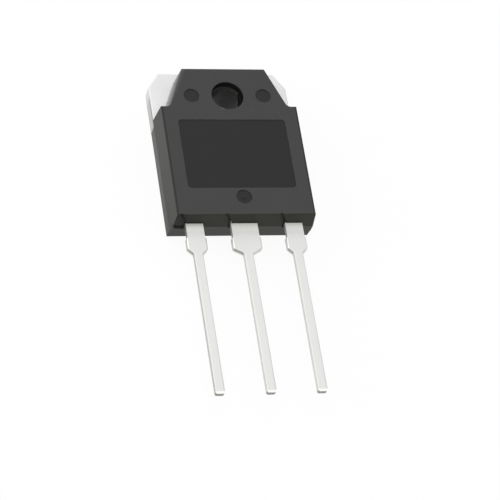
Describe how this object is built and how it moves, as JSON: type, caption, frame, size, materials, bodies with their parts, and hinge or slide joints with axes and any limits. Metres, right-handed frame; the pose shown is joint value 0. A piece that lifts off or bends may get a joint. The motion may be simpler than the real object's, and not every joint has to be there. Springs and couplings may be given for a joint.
{
  "type": "power transistor",
  "caption": "Flat black moulded power transistor with a plated metal tab, an insulated screw hole and straight solder leads.",
  "frame": {"origin": "centre of the screw hole on the back plane, where the part meets its heatsink", "axes": "+Z along the screw hole, out of the front of the case; X across the leads; the leads point along -Y and the tab's top edge faces +Y"},
  "size_m": [0.0156, 0.0404, 0.0048],
  "materials": {
    "moulding": "fine matte epoxy moulding with a smoother bare marking field",
    "plated_frame": "matte tin plating over copper",
    "silicon": "sawn silicon, sealed inside",
    "solder": "dull solder, sealed inside",
    "bond_wire": "drawn aluminium wire, sealed inside"
  },
  "bodies": {
    "root": {"moulded_case": "moulding", "tab_and_centre_lead": "plated_frame", "left_lead": "plated_frame", "right_lead": "plated_frame", "die": "silicon", "die_solder": "solder", "gate_wire": "bond_wire", "source_wire_1": "bond_wire", "source_wire_2": "bond_wire"}
  },
  "joints": []
}
